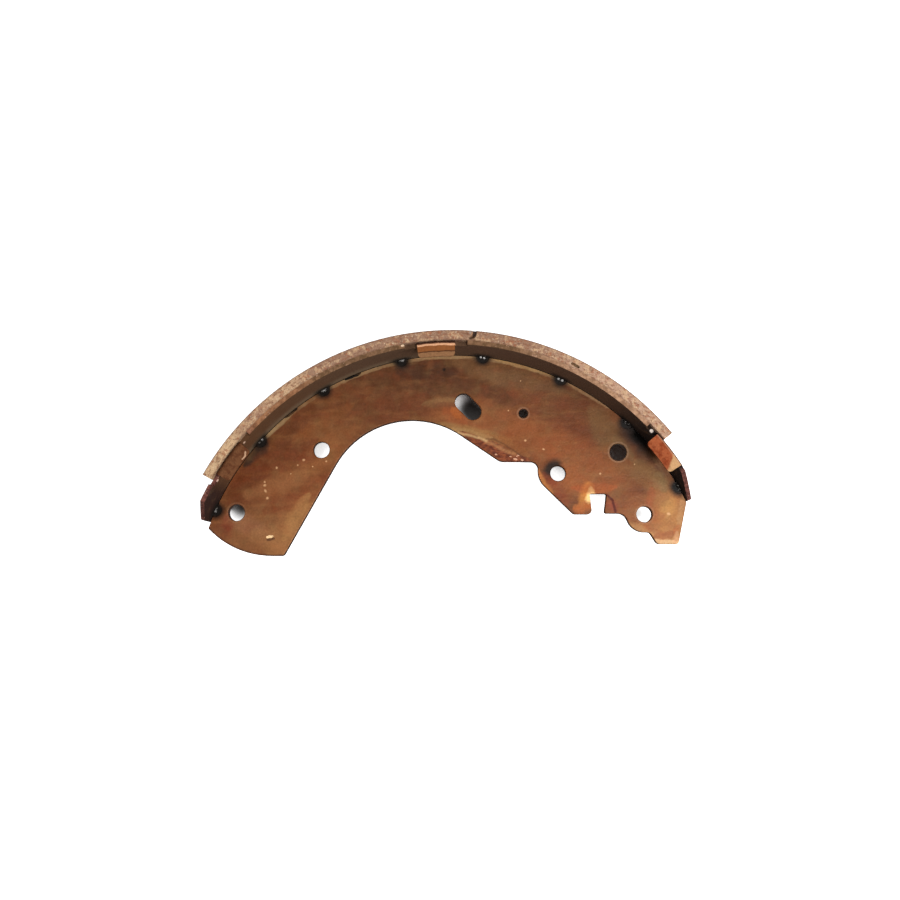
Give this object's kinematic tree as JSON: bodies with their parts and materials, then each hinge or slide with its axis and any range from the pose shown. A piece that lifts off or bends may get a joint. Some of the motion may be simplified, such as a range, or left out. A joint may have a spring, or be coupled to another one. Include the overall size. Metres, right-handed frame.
{
  "type": "brake shoe",
  "caption": "Drum brake shoe: a flat steel web with an arch, notch and spring holes, welded under a curved steel table with bent nibs and a bonded friction lining.",
  "frame": {"origin": "below the middle of the shoe, on the plane that its lower edge and nibs lie on", "axes": "+X along the chord from the anchor end to the adjuster end, +Y towards the crown of the lining, +Z across the shoe; the shoe lies on its side with the web level"},
  "size_m": [0.2258, 0.1014, 0.057],
  "materials": {
    "web_steel": "blanked steel with a brown, slightly glossy film of oil and light rust",
    "table_steel": "rolled steel, dark brown inside, rust-red along its edges and nibs",
    "friction": "matt, speckled friction material",
    "weld_metal": "bright weld flash"
  },
  "bodies": {
    "root": {"web": "web_steel", "table": "table_steel", "lining": "friction", "weld_beads": "weld_metal"}
  },
  "joints": []
}
